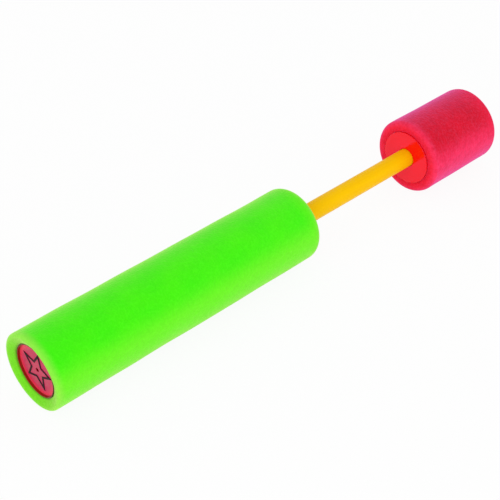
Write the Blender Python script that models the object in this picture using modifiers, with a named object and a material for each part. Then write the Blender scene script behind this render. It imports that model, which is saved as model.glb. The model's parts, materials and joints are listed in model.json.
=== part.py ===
"""A hand-pumped water squirter, lying on its side with the nozzle towards -X.

A foam sleeve covers a plastic barrel tube. A nozzle cap closes the front of the tube and a rod
guide closes its rear. The rod pushes a piston with two O-rings along the tube, and it turns freely
on the piston's stem. At the rear end the rod is pinned into the hollow core of a foam-covered handle.

Every piece is turned about one axis, so it is drawn along its own Z and laid along X by its parent.
Distances along the axis are counted from the front face of the foam sleeve, positive to the rear.
"""

import math

import bmesh
import bpy
from mathutils import Matrix, Vector

MM = 0.001

# Facets round the axis for the foams, the hollow pieces and the slim ones, then round small sections
FOAM_STEPS = 48
SHELL_STEPS = 40
SLIM_STEPS = 32
RING_SECTION_STEPS = 6
PIN_STEPS = 16
VENT_STEPS = 8
FOAM_FILLET_STEPS = 4
FILLET_STEPS = 2
FILLET_LIMIT = 0.45  # share of a side that one fillet may take
MERGE_DISTANCE = 1e-6
OVERSHOOT = 1.2  # how much longer a cutter is than what it goes through

# Clearances
SEAT_GAP = 0.3 * MM  # between pieces that are pressed, clipped or glued together
RUNNING_GAP = 0.3 * MM  # between the rod and the guide
PISTON_GAP = 0.5 * MM  # between the piston's lands and the tube
STOP_GAP = 0.5 * MM  # left between two stops at either end of the stroke

# Foam sleeve on the barrel
SLEEVE_LENGTH = 227 * MM
SLEEVE_DIAMETER = 54 * MM
SLEEVE_FRONT_ROUND = 1 * MM
SLEEVE_FRONT_LAND = 2.4 * MM  # width of the flat edge round the dished front
SLEEVE_FRONT_DISH = 2.8 * MM  # how far the front slopes in from that edge to the bore
SLEEVE_REAR_ROUND = 7 * MM
SLEEVE_MOUTH_ROUND = 1 * MM

# Barrel tube
TUBE_DIAMETER = 37.4 * MM
TUBE_WALL = 2 * MM

# O-rings, one on the nozzle cap and two on the piston
O_RING_THICKNESS = 2.6 * MM

# Nozzle cap
NOZZLE_RECESS = 2.7 * MM  # from the sleeve's front edge to the cap's rim
RIM_HEIGHT = 1.8 * MM
RIM_WALL = 0.8 * MM
RIM_ROUND = 0.3 * MM
CAP_PLATE = 2.2 * MM
CAP_SPIGOT_LENGTH = 14 * MM
CAP_GROOVE_DEPTH_IN = 8 * MM  # from the cap's flange to its O-ring groove
CAP_GROOVE_FLOOR = 2 * MM  # wall left under the groove
ORIFICE_DIAMETER = 2.5 * MM
NOZZLE_BOSS_WALL = 2.2 * MM
NOZZLE_BOSS_LENGTH = 5 * MM

# Star moulded on the nozzle cap's face
STAR_POINTS = 5
STAR_RADIUS = 16 * MM
STAR_LINE = 1.3 * MM
STAR_HEIGHT = 0.5 * MM
STAR_SUNK = 0.4 * MM  # how far the ridge goes into the face, so that the two join
STAR_TURN = math.radians(48.5)  # of one point, from straight down towards +Y

# Rod guide in the rear of the tube
GUIDE_RECESS = 3 * MM  # from the sleeve's rear face to the guide's flange
GUIDE_FLANGE = 3 * MM
GUIDE_SPIGOT_LENGTH = 14 * MM
GUIDE_SPIGOT_WALL = 2.2 * MM
GUIDE_HUB_WALL = 2.7 * MM
GUIDE_ROUND = 0.6 * MM
VENT_COUNT = 6
VENT_DIAMETER = 2.6 * MM

# Clips that hold the cap and the guide in the tube
CLIP_COUNT = 4
CLIP_WIDTH = 5 * MM
CLIP_LENGTH = 3 * MM
CLIP_LEAD_IN = 1.2 * MM
CLIP_SETBACK = 2.5 * MM  # from the flange to the clip
CLIP_SHOULDER = 0.5 * MM  # from the clip's top to the outside of the tube
CLIP_SUNK = 1 * MM

# Rod
ROD_DIAMETER = 14 * MM
ROD_WALL = 1.5 * MM
ROD_ROUND = 0.4 * MM
ROD_EXPOSED = 118 * MM  # between the sleeve and the handle at rest

# Piston and its stem
PISTON_LENGTH = 22 * MM
PISTON_LAND = 3.5 * MM
PISTON_ROUND = 0.6 * MM
PISTON_DISH_DIAMETER = 19 * MM
PISTON_DISH_DEPTH = 12 * MM
PISTON_DISH_ROUND = 2 * MM
STEM_LENGTH = 20 * MM
STEM_ROUND = 0.8 * MM

# Pins that hold the rod on the stem, so that it can turn but not pull off
SWIVEL_PIN_DIAMETER = 2 * MM
SWIVEL_PIN_OFFSET = 4.7 * MM  # from the rod's axis to the pin's
SWIVEL_PIN_LENGTH = 8 * MM
SWIVEL_PIN_SETBACK = 8 * MM  # from the rod's front end to the pins

# Handle core, its cross pin and its end cap
CORE_DIAMETER = 41.4 * MM
CORE_WALL = 1.8 * MM
CORE_FACE = 2.5 * MM
CORE_ROUND = 1 * MM
CORE_PROUD = 1 * MM  # how far the disc stands out of the foam
SOCKET_DEPTH = 45 * MM
SOCKET_WALL = 2.2 * MM
SOCKET_FLOOR = 2.5 * MM
RIB_COUNT = 4
RIB_THICKNESS = 1.6 * MM
RIB_LENGTH = 38 * MM
RIB_SUNK = 0.6 * MM
HANDLE_PIN_DIAMETER = 3 * MM
HANDLE_PIN_SETBACK = 25 * MM  # from the handle's front face to the pin
END_CAP_RECESS = 1 * MM
END_CAP_PLATE = 2.5 * MM
END_CAP_SKIRT_LENGTH = 9 * MM
END_CAP_SKIRT_WALL = 1.6 * MM

# Foam grip on the handle
HANDLE_LENGTH = 72 * MM
HANDLE_DIAMETER = 57 * MM
HANDLE_ROUND = 2.6 * MM
HANDLE_MOUTH_ROUND = 1 * MM

# Radii that follow from the sizes above
TUBE_RADIUS = TUBE_DIAMETER / 2
TUBE_BORE = TUBE_RADIUS - TUBE_WALL
SPIGOT_RADIUS = TUBE_BORE - SEAT_GAP
SLEEVE_BORE = TUBE_RADIUS + SEAT_GAP
RING_MIDDLE = TUBE_BORE - SEAT_GAP - O_RING_THICKNESS / 2
GROOVE_RADIUS = RING_MIDDLE - O_RING_THICKNESS / 2 - SEAT_GAP
GROOVE_WIDTH = O_RING_THICKNESS + 2 * SEAT_GAP
ROD_RADIUS = ROD_DIAMETER / 2
ROD_BORE = ROD_RADIUS - ROD_WALL
GUIDE_BORE = ROD_RADIUS + RUNNING_GAP
PISTON_RADIUS = TUBE_BORE - PISTON_GAP
STEM_RADIUS = ROD_BORE - SEAT_GAP
STEM_GROOVE = SWIVEL_PIN_OFFSET - SWIVEL_PIN_DIAMETER / 2 - SEAT_GAP
CORE_RADIUS = CORE_DIAMETER / 2
CORE_BORE = CORE_RADIUS - CORE_WALL
SOCKET_BORE = ROD_RADIUS + SEAT_GAP
SOCKET_RADIUS = SOCKET_BORE + SOCKET_WALL
GRIP_BORE = CORE_RADIUS + SEAT_GAP

# Places along the axis that follow from the sizes above
CAP_FRONT = NOZZLE_RECESS
CAP_FLANGE = RIM_HEIGHT + CAP_PLATE
CAP_REAR = CAP_FRONT + CAP_FLANGE + CAP_SPIGOT_LENGTH
TUBE_FRONT = CAP_FRONT + CAP_FLANGE + SEAT_GAP
GUIDE_REAR = SLEEVE_LENGTH - GUIDE_RECESS
GUIDE_FRONT = GUIDE_REAR - GUIDE_FLANGE - GUIDE_SPIGOT_LENGTH
TUBE_REAR = GUIDE_REAR - GUIDE_FLANGE - SEAT_GAP
PUSH_TRAVEL = ROD_EXPOSED - CORE_PROUD - STOP_GAP
PISTON_FRONT = CAP_REAR + STOP_GAP + PUSH_TRAVEL
DRAW_TRAVEL = GUIDE_FRONT - STOP_GAP - PISTON_FRONT - PISTON_LENGTH
ROD_FRONT = PISTON_FRONT + PISTON_LENGTH + SEAT_GAP
HANDLE_FRONT = SLEEVE_LENGTH + ROD_EXPOSED
ROD_REAR = HANDLE_FRONT + SOCKET_DEPTH - SEAT_GAP
HANDLE_REAR = HANDLE_FRONT + HANDLE_LENGTH
END_CAP_REAR = HANDLE_REAR - END_CAP_RECESS
CORE_LENGTH = END_CAP_REAR - END_CAP_PLATE - SEAT_GAP - HANDLE_FRONT

# The thickest foam carries the part, on a flat of its faceted outline
HALF_FACET = math.pi / FOAM_STEPS
AXIS_HEIGHT = max(HANDLE_DIAMETER, SLEEVE_DIAMETER) / 2 * math.cos(HALF_FACET)
SMOOTH_ANGLE = math.radians(30)
AXIS_FROM_PLANE = Matrix.Rotation(math.pi / 2, 4, "X")

# Colours, as 8-bit sRGB, and roughness of each material
FINISHES = {
    "green_foam": ((78, 240, 30), 0.85),
    "red_foam": ((222, 34, 66), 0.85),
    "red_plastic": ((226, 44, 62), 0.35),
    "yellow_plastic": ((252, 200, 8), 0.35),
    "white_plastic": ((226, 228, 226), 0.4),
    "black_rubber": ((28, 28, 30), 0.6),
    "steel": ((176, 178, 182), 0.3),
}
METALS = ("steel",)


def clear_scene():
    for obj in list(bpy.data.objects):
        bpy.data.objects.remove(obj)


def new_collection(name):
    collection = bpy.data.collections.new(name)
    bpy.context.scene.collection.children.link(collection)
    return collection


def linear(channel):
    """An 8-bit sRGB channel as the linear value that a shader takes."""
    value = channel / 255
    if value <= 0.04045:
        return value / 12.92
    return ((value + 0.055) / 1.055) ** 2.4


def make_materials():
    made = {}
    for name, (colour, roughness) in FINISHES.items():
        material = bpy.data.materials.new(name)
        material.use_nodes = True
        shader = material.node_tree.nodes["Principled BSDF"]
        shader.inputs["Base Color"].default_value = (*map(linear, colour), 1)
        shader.inputs["Roughness"].default_value = roughness
        shader.inputs["Metallic"].default_value = 1.0 if name in METALS else 0.0
        made[name] = material
    return made


def rounded(corners, closed=True, steps=FILLET_STEPS):
    """The outline through corners of (radius, height) or (radius, height, fillet), with each fillet
    as an arc. A fillet is limited by the shorter of the two sides that it joins."""
    count = len(corners)
    points = []
    for i, corner in enumerate(corners):
        here = Vector(corner[:2])
        fillet = corner[2] if len(corner) > 2 else 0
        if not fillet or (not closed and i in (0, count - 1)):
            points.append(here)
            continue
        before = Vector(corners[i - 1][:2]) - here
        after = Vector(corners[(i + 1) % count][:2]) - here
        half_angle = before.angle(after) / 2
        limit = FILLET_LIMIT * min(before.length, after.length)
        reach = min(fillet / math.tan(half_angle), limit)
        start, end = here + before.normalized() * reach, here + after.normalized() * reach
        radius = reach * math.tan(half_angle)
        bisector = (before.normalized() + after.normalized()).normalized()
        centre = here + bisector * radius / math.sin(half_angle)
        sweep = (start - centre).angle_signed(end - centre)
        for step in range(steps + 1):
            turn = -sweep * step / steps
            arm = start - centre
            points.append(centre + Vector((
                arm.x * math.cos(turn) - arm.y * math.sin(turn),
                arm.x * math.sin(turn) + arm.y * math.cos(turn),
            )))
    return points


def place(obj, collection, parent, along, material=None):
    """Puts an object on its parent's axis, at a distance along it."""
    for owner in obj.users_collection:
        owner.objects.unlink(obj)
    collection.objects.link(obj)
    obj.parent = parent
    obj.location = (0, 0, along)
    if material:
        obj.data.materials.append(material)
    return obj


def turned(name, profile, steps, closed=True):
    """A profile of (radius, height) points carried once round Z. It runs down its outer side."""
    mesh = bpy.data.meshes.new(name)
    edges = [(i, i + 1) for i in range(len(profile) - 1)]
    if closed:
        edges.append((len(profile) - 1, 0))
    mesh.from_pydata([(radius, 0, height) for radius, height in profile], edges, [])
    obj = bpy.data.objects.new(name, mesh)
    bpy.context.scene.collection.objects.link(obj)
    screw = obj.modifiers.new("turn", "SCREW")
    screw.axis = "Z"
    screw.angle = 2 * math.pi
    screw.steps = screw.render_steps = steps
    screw.use_merge_vertices = True
    screw.merge_threshold = MERGE_DISTANCE
    return obj


def ring_profile(middle, thickness):
    """A round section about a ring's middle line, running down its outer side."""
    turns = [2 * math.pi * i / RING_SECTION_STEPS for i in range(RING_SECTION_STEPS)]
    half = thickness / 2
    return [(middle + half * math.cos(t), -half * math.sin(t)) for t in turns]


def round_bar(name, diameter, length, steps, across=False):
    """A plain round bar, centred on its origin. It lies along Z or, where it goes across, along Y."""
    mesh = bpy.data.meshes.new(name)
    bar = bmesh.new()
    bmesh.ops.create_cone(
        bar, cap_ends=True, segments=steps, radius1=diameter / 2, radius2=diameter / 2, depth=length
    )
    bar.to_mesh(mesh)
    bar.free()
    obj = bpy.data.objects.new(name, mesh)
    bpy.context.scene.collection.objects.link(obj)
    if across:
        obj.rotation_euler = (math.pi / 2, 0, 0)
    return obj


def block(name, size):
    """A box of that size, centred on its origin."""
    mesh = bpy.data.meshes.new(name)
    box = bmesh.new()
    bmesh.ops.create_cube(box, size=1)
    bmesh.ops.scale(box, vec=size, verts=box.verts)
    box.to_mesh(mesh)
    box.free()
    obj = bpy.data.objects.new(name, mesh)
    bpy.context.scene.collection.objects.link(obj)
    return obj


def flat_outline(name, outlines, thickness):
    """Closed 2D outlines, the inner ones cut out, as a plate centred on its own XY plane."""
    curve = bpy.data.curves.new(name, "CURVE")
    curve.dimensions = "2D"
    curve.fill_mode = "BOTH"
    curve.extrude = thickness / 2
    for outline in outlines:
        spline = curve.splines.new("POLY")
        spline.points.add(len(outline) - 1)
        for point, (x, y) in zip(spline.points, outline):
            point.co = (x, y, 0, 1)
        spline.use_cyclic_u = True
    drawn = bpy.data.objects.new(name, curve)
    bpy.context.scene.collection.objects.link(drawn)
    bpy.context.view_layer.update()
    graph = bpy.context.evaluated_depsgraph_get()
    mesh = bpy.data.meshes.new_from_object(drawn.evaluated_get(graph))
    bpy.data.objects.remove(drawn)
    solid = bmesh.new()
    solid.from_mesh(mesh)
    bmesh.ops.remove_doubles(solid, verts=solid.verts, dist=MERGE_DISTANCE)
    bmesh.ops.recalc_face_normals(solid, faces=solid.faces)
    solid.to_mesh(mesh)
    solid.free()
    obj = bpy.data.objects.new(name, mesh)
    bpy.context.scene.collection.objects.link(obj)
    return obj


def helper(obj, cutters, parent, along):
    """Keeps a shape that only cuts or joins out of the finished part."""
    place(obj, cutters, parent, along)
    obj.hide_render = True
    obj.display_type = "WIRE"
    return obj


def combine(obj, other, operation):
    boolean = obj.modifiers.new(f"{operation.lower()}_{other.name}", "BOOLEAN")
    boolean.operation = operation
    boolean.object = other
    boolean.solver = "EXACT"


def star_outline(radius):
    """A regular star's corners, its inner ones on the lines that join every second point."""
    inner = radius * math.cos(2 * math.pi / STAR_POINTS) / math.cos(math.pi / STAR_POINTS)
    corners = []
    for i in range(2 * STAR_POINTS):
        turn = STAR_TURN - HALF_FACET + i * math.pi / STAR_POINTS
        reach = radius if i % 2 == 0 else inner
        corners.append((reach * math.cos(turn), reach * math.sin(turn)))
    return corners


def star_edge_distance(radius):
    """How far a star's sides lie from its centre."""
    return radius * math.cos(2 * math.pi / STAR_POINTS)


def clip_angles():
    return [2 * math.pi * (i + 0.5) / CLIP_COUNT for i in range(CLIP_COUNT)]


def clip_shape(name, sign):
    """One clip on a spigot. It stands across a radius, and its lead-in slopes to the tube's inside,
    which is towards +Z on the nozzle cap, where sign is 1, and towards -Z on the guide."""
    foot, top = SPIGOT_RADIUS - CLIP_SUNK, TUBE_RADIUS - CLIP_SHOULDER
    outline = [
        (foot, 0),
        (top, 0),
        (top, sign * (CLIP_LENGTH - CLIP_LEAD_IN)),
        (SPIGOT_RADIUS, sign * CLIP_LENGTH),
        (foot, sign * CLIP_LENGTH),
    ]
    clip = flat_outline(name, [outline], CLIP_WIDTH)
    # The outline's Y becomes the axis, and its thickness goes across the radius
    clip.data.transform(AXIS_FROM_PLANE)
    return clip


def add_clips(piece, cutters, parent, along, sign):
    for i, turn in enumerate(clip_angles()):
        clip = helper(clip_shape(f"{piece.name}_clip_{i}", sign), cutters, parent, along)
        clip.rotation_euler = (0, 0, turn)
        combine(piece, clip, "UNION")


def cut_windows(tube, cutters, parent, along, sign):
    """The openings in the tube that the clips snap into, with the seat gap on every side."""
    length, width = CLIP_LENGTH + 2 * SEAT_GAP, CLIP_WIDTH + 2 * SEAT_GAP
    depth = 2 * TUBE_WALL
    for i, turn in enumerate(clip_angles()):
        window = helper(
            block(f"window_{'front' if sign > 0 else 'rear'}_{i}", (depth, width, length)),
            cutters, parent, along + sign * CLIP_LENGTH / 2,
        )
        middle = (TUBE_RADIUS + TUBE_BORE) / 2
        window.location.x = middle * math.cos(turn)
        window.location.y = middle * math.sin(turn)
        window.rotation_euler = (0, 0, turn)
        combine(tube, window, "DIFFERENCE")


def make_sleeve(parts, axis, materials):
    outer = SLEEVE_DIAMETER / 2
    profile = rounded([
        (outer, SLEEVE_LENGTH, SLEEVE_REAR_ROUND),
        (outer, 0, SLEEVE_FRONT_ROUND),
        (outer - SLEEVE_FRONT_LAND, 0),
        (SLEEVE_BORE, SLEEVE_FRONT_DISH, SLEEVE_MOUTH_ROUND),
        (SLEEVE_BORE, SLEEVE_LENGTH),
    ], steps=FOAM_FILLET_STEPS)
    sleeve = turned("barrel_foam_sleeve", profile, FOAM_STEPS)
    return place(sleeve, parts, axis, 0, materials["green_foam"])


def make_tube(parts, cutters, axis, materials):
    length = TUBE_REAR - TUBE_FRONT
    profile = [(TUBE_RADIUS, length), (TUBE_RADIUS, 0), (TUBE_BORE, 0), (TUBE_BORE, length)]
    tube = place(turned("barrel_tube", profile, SHELL_STEPS), parts, axis, TUBE_FRONT)
    tube.data.materials.append(materials["white_plastic"])
    cut_windows(tube, cutters, axis, CAP_FRONT + CAP_FLANGE + CLIP_SETBACK, 1)
    cut_windows(tube, cutters, axis, GUIDE_REAR - GUIDE_FLANGE - CLIP_SETBACK, -1)
    return tube


def make_nozzle_cap(parts, cutters, axis, materials):
    groove = CAP_FLANGE + CAP_GROOVE_DEPTH_IN
    rear = CAP_FLANGE + CAP_SPIGOT_LENGTH
    spigot_bore = GROOVE_RADIUS - CAP_GROOVE_FLOOR
    orifice = ORIFICE_DIAMETER / 2
    boss_rear = CAP_FLANGE + NOZZLE_BOSS_LENGTH
    profile = rounded([
        (SPIGOT_RADIUS, rear),
        (SPIGOT_RADIUS, groove + GROOVE_WIDTH),
        (GROOVE_RADIUS, groove + GROOVE_WIDTH),
        (GROOVE_RADIUS, groove),
        (SPIGOT_RADIUS, groove),
        (SPIGOT_RADIUS, CAP_FLANGE),
        (TUBE_RADIUS, CAP_FLANGE),
        (TUBE_RADIUS, 0, RIM_ROUND),
        (TUBE_RADIUS - RIM_WALL, 0, RIM_ROUND),
        (TUBE_RADIUS - RIM_WALL, RIM_HEIGHT),
        (orifice, RIM_HEIGHT),
        (orifice, boss_rear),
        (orifice + NOZZLE_BOSS_WALL / 2, boss_rear),
        (orifice + NOZZLE_BOSS_WALL, CAP_FLANGE),
        (spigot_bore, CAP_FLANGE),
        (spigot_bore, rear),
    ])
    cap = turned("nozzle_cap", profile, SHELL_STEPS)
    place(cap, parts, axis, CAP_FRONT, materials["red_plastic"])
    add_clips(cap, cutters, axis, CAP_FRONT + CAP_FLANGE + CLIP_SETBACK, 1)
    add_star(cap, cutters, axis)
    return cap


def add_star(cap, cutters, axis):
    """A star drawn as a raised line round the orifice."""
    inner_radius = STAR_RADIUS * (1 - STAR_LINE / star_edge_distance(STAR_RADIUS))
    outlines = [star_outline(STAR_RADIUS), star_outline(inner_radius)]
    star = flat_outline("star_ridge", outlines, STAR_HEIGHT + STAR_SUNK)
    middle = CAP_FRONT + RIM_HEIGHT + (STAR_SUNK - STAR_HEIGHT) / 2
    combine(cap, helper(star, cutters, axis, middle), "UNION")


def make_o_ring(name, parts, parent, along, materials):
    ring = turned(name, ring_profile(RING_MIDDLE, O_RING_THICKNESS), SLIM_STEPS)
    return place(ring, parts, parent, along, materials["black_rubber"])


def make_guide(parts, cutters, axis, materials):
    flange = GUIDE_SPIGOT_LENGTH
    rear = GUIDE_SPIGOT_LENGTH + GUIDE_FLANGE
    pocket = SPIGOT_RADIUS - GUIDE_SPIGOT_WALL
    hub = GUIDE_BORE + GUIDE_HUB_WALL
    profile = rounded([
        (TUBE_RADIUS, rear, GUIDE_ROUND),
        (TUBE_RADIUS, flange),
        (SPIGOT_RADIUS, flange),
        (SPIGOT_RADIUS, 0, GUIDE_ROUND),
        (pocket, 0),
        (pocket, flange),
        (hub, flange),
        (hub, 0),
        (GUIDE_BORE, 0, GUIDE_ROUND),
        (GUIDE_BORE, rear, GUIDE_ROUND),
    ])
    guide = turned("rear_rod_guide", profile, SHELL_STEPS)
    place(guide, parts, axis, GUIDE_FRONT, materials["red_plastic"])
    add_clips(guide, cutters, axis, GUIDE_REAR - GUIDE_FLANGE - CLIP_SETBACK, -1)
    for i in range(VENT_COUNT):
        turn = 2 * math.pi * i / VENT_COUNT
        vent = round_bar(f"vent_{i}", VENT_DIAMETER, OVERSHOOT * GUIDE_FLANGE, VENT_STEPS)
        helper(vent, cutters, axis, GUIDE_REAR - GUIDE_FLANGE / 2)
        vent.location.x = (pocket + hub) / 2 * math.cos(turn)
        vent.location.y = (pocket + hub) / 2 * math.sin(turn)
        combine(guide, vent, "DIFFERENCE")
    return guide


def make_piston(parts, axis, materials):
    """A dished head with an O-ring groove near each face, and a grooved stem for the rod."""
    front_groove = PISTON_LAND
    rear_groove = PISTON_LENGTH - PISTON_LAND - GROOVE_WIDTH
    stem_groove = PISTON_LENGTH + SEAT_GAP + SWIVEL_PIN_SETBACK
    half_width = SWIVEL_PIN_DIAMETER / 2 + SEAT_GAP
    stem_rear = PISTON_LENGTH + STEM_LENGTH
    dish = PISTON_DISH_DIAMETER / 2
    profile = rounded([
        (0, stem_rear),
        (STEM_RADIUS, stem_rear, STEM_ROUND),
        (STEM_RADIUS, stem_groove + half_width),
        (STEM_GROOVE, stem_groove + half_width),
        (STEM_GROOVE, stem_groove - half_width),
        (STEM_RADIUS, stem_groove - half_width),
        (STEM_RADIUS, PISTON_LENGTH),
        (PISTON_RADIUS, PISTON_LENGTH, PISTON_ROUND),
        (PISTON_RADIUS, rear_groove + GROOVE_WIDTH),
        (GROOVE_RADIUS, rear_groove + GROOVE_WIDTH),
        (GROOVE_RADIUS, rear_groove),
        (PISTON_RADIUS, rear_groove),
        (PISTON_RADIUS, front_groove + GROOVE_WIDTH),
        (GROOVE_RADIUS, front_groove + GROOVE_WIDTH),
        (GROOVE_RADIUS, front_groove),
        (PISTON_RADIUS, front_groove),
        (PISTON_RADIUS, 0, PISTON_ROUND),
        (dish, 0),
        (dish, PISTON_DISH_DEPTH, PISTON_DISH_ROUND),
        (0, PISTON_DISH_DEPTH),
    ], closed=False)
    piston = turned("piston_head", profile, SHELL_STEPS, closed=False)
    place(piston, parts, axis, 0, materials["white_plastic"])
    make_o_ring("piston_o_ring_front", parts, axis, front_groove + GROOVE_WIDTH / 2, materials)
    make_o_ring("piston_o_ring_rear", parts, axis, rear_groove + GROOVE_WIDTH / 2, materials)
    return piston


def make_rod(parts, cutters, axis, materials):
    length = ROD_REAR - ROD_FRONT
    profile = rounded([
        (ROD_RADIUS, length, ROD_ROUND),
        (ROD_RADIUS, 0, ROD_ROUND),
        (ROD_BORE, 0),
        (ROD_BORE, length),
    ])
    rod = place(turned("plunger_rod", profile, SLIM_STEPS), parts, axis, 0, materials["yellow_plastic"])
    for side, name in ((1, "left"), (-1, "right")):
        pin = round_bar(
            f"swivel_pin_{name}", SWIVEL_PIN_DIAMETER, SWIVEL_PIN_LENGTH, PIN_STEPS, across=True
        )
        place(pin, parts, axis, SWIVEL_PIN_SETBACK, materials["steel"])
        pin.location.x = side * SWIVEL_PIN_OFFSET
        hole = SWIVEL_PIN_DIAMETER + 2 * SEAT_GAP
        drill = round_bar(
            f"swivel_hole_{name}", hole, OVERSHOOT * ROD_DIAMETER, PIN_STEPS, across=True
        )
        helper(drill, cutters, axis, SWIVEL_PIN_SETBACK)
        drill.location.x = side * SWIVEL_PIN_OFFSET
        combine(rod, drill, "DIFFERENCE")
    cross_drill = handle_pin_drill("rod_cross_hole", cutters, axis)
    combine(rod, cross_drill, "DIFFERENCE")
    return rod


def handle_pin_drill(name, cutters, axis):
    hole = HANDLE_PIN_DIAMETER + 2 * SEAT_GAP
    drill = round_bar(name, hole, OVERSHOOT * 2 * SOCKET_RADIUS, PIN_STEPS, across=True)
    return helper(drill, cutters, axis, HANDLE_FRONT - ROD_FRONT + HANDLE_PIN_SETBACK)


def make_handle(parts, cutters, axis, materials):
    front = HANDLE_FRONT - ROD_FRONT
    socket_end = SOCKET_DEPTH + SOCKET_FLOOR
    profile = rounded([
        (0, socket_end),
        (SOCKET_RADIUS, socket_end),
        (SOCKET_RADIUS, CORE_FACE),
        (CORE_BORE, CORE_FACE),
        (CORE_BORE, CORE_LENGTH),
        (CORE_RADIUS, CORE_LENGTH),
        (CORE_RADIUS, -CORE_PROUD, CORE_ROUND),
        (SOCKET_BORE, -CORE_PROUD, ROD_ROUND),
        (SOCKET_BORE, SOCKET_DEPTH),
        (0, SOCKET_DEPTH),
    ], closed=False)
    core = turned("handle_core", profile, SHELL_STEPS, closed=False)
    place(core, parts, axis, front, materials["red_plastic"])
    for i in range(RIB_COUNT):
        turn = 2 * math.pi * (i + 0.5) / RIB_COUNT
        inner, outer = SOCKET_RADIUS - RIB_SUNK, CORE_BORE + RIB_SUNK
        rib = block(f"rib_{i}", (outer - inner, RIB_THICKNESS, RIB_LENGTH))
        helper(rib, cutters, axis, front + CORE_FACE - RIB_SUNK + RIB_LENGTH / 2)
        rib.location.x = (inner + outer) / 2 * math.cos(turn)
        rib.location.y = (inner + outer) / 2 * math.sin(turn)
        rib.rotation_euler = (0, 0, turn)
        combine(core, rib, "UNION")
    combine(core, handle_pin_drill("core_cross_hole", cutters, axis), "DIFFERENCE")
    pin = round_bar(
        "handle_cross_pin", HANDLE_PIN_DIAMETER, 2 * SOCKET_RADIUS, PIN_STEPS, across=True
    )
    place(pin, parts, axis, front + HANDLE_PIN_SETBACK, materials["steel"])


def make_end_cap(parts, axis, materials):
    skirt = CORE_BORE - SEAT_GAP
    plate = END_CAP_SKIRT_LENGTH
    rear = END_CAP_SKIRT_LENGTH + END_CAP_PLATE
    profile = rounded([
        (0, rear),
        (CORE_RADIUS, rear, CORE_ROUND),
        (CORE_RADIUS, plate),
        (skirt, plate),
        (skirt, 0, ROD_ROUND),
        (skirt - END_CAP_SKIRT_WALL, 0),
        (skirt - END_CAP_SKIRT_WALL, plate),
        (0, plate),
    ], closed=False)
    cap = turned("handle_end_cap", profile, SHELL_STEPS, closed=False)
    place(cap, parts, axis, END_CAP_REAR - rear - ROD_FRONT, materials["red_plastic"])


def make_grip(parts, axis, materials):
    outer = HANDLE_DIAMETER / 2
    profile = rounded([
        (outer, HANDLE_LENGTH, HANDLE_ROUND),
        (outer, 0, HANDLE_ROUND),
        (GRIP_BORE, 0, HANDLE_MOUTH_ROUND),
        (GRIP_BORE, HANDLE_LENGTH, HANDLE_MOUTH_ROUND),
    ], steps=FOAM_FILLET_STEPS)
    grip = turned("handle_foam_grip", profile, FOAM_STEPS)
    place(grip, parts, axis, HANDLE_FRONT - ROD_FRONT, materials["red_foam"])


def make_axis(name, collection, parent, along):
    """An empty on the axis, which carries one group of pieces that move together."""
    empty = bpy.data.objects.new(name, None)
    collection.objects.link(empty)
    empty.parent = parent
    empty.location = (0, 0, along)
    return empty


def freeze(obj):
    """Makes the modifiers part of the mesh, smooth on round faces and sharp on edges."""
    graph = bpy.context.evaluated_depsgraph_get()
    mesh = bpy.data.meshes.new_from_object(obj.evaluated_get(graph))
    obj.modifiers.clear()
    obj.data = mesh
    mesh.shade_smooth()
    mesh.set_sharp_from_angle(angle=SMOOTH_ANGLE)


def main():
    clear_scene()
    parts = new_collection("water_squirter")
    cutters = new_collection("cutters")
    materials = make_materials()

    # The barrel's axis runs along +X, with a flat of the faceted foam underneath
    barrel = make_axis("barrel_axis", parts, None, 0)
    barrel.location = (-HANDLE_REAR / 2, 0, AXIS_HEIGHT)
    barrel.rotation_mode = "ZYX"
    barrel.rotation_euler = (0, math.pi / 2, HALF_FACET)
    piston = make_axis("piston_axis", parts, barrel, PISTON_FRONT)
    plunger = make_axis("plunger_axis", parts, piston, ROD_FRONT - PISTON_FRONT)

    make_sleeve(parts, barrel, materials)
    make_tube(parts, cutters, barrel, materials)
    make_nozzle_cap(parts, cutters, barrel, materials)
    groove = CAP_FRONT + CAP_FLANGE + CAP_GROOVE_DEPTH_IN
    make_o_ring("nozzle_o_ring", parts, barrel, groove + GROOVE_WIDTH / 2, materials)
    make_guide(parts, cutters, barrel, materials)
    make_piston(parts, piston, materials)
    make_rod(parts, cutters, plunger, materials)
    make_handle(parts, cutters, plunger, materials)
    make_end_cap(parts, plunger, materials)
    make_grip(parts, plunger, materials)

    bpy.context.view_layer.update()
    for obj in parts.objects:
        if obj.type == "MESH":
            freeze(obj)
    for name, travel in (("push", PUSH_TRAVEL), ("draw", DRAW_TRAVEL)):
        print(f"{name} travel {travel / MM:.1f} mm")


main()
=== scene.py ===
# %% [markdown]
# A foam water squirter
#
# The toy is a pump. A plastic barrel sits in a thick green foam sleeve, and a yellow rod runs out of
# its rear into a handle that is wrapped in red foam. Pulling the handle draws water in through the
# nozzle, and pushing it squirts the water out.
#
# The frame holds every piece as a solid of the right size. This file replaces the faceted solids that
# show with finer surfaces, gives every piece a finish, and sets up the floor, the light and the camera.

# %% Load the frame
import json
import math

import bmesh
import bpy
import numpy as np
from mathutils import Matrix, Vector


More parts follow.
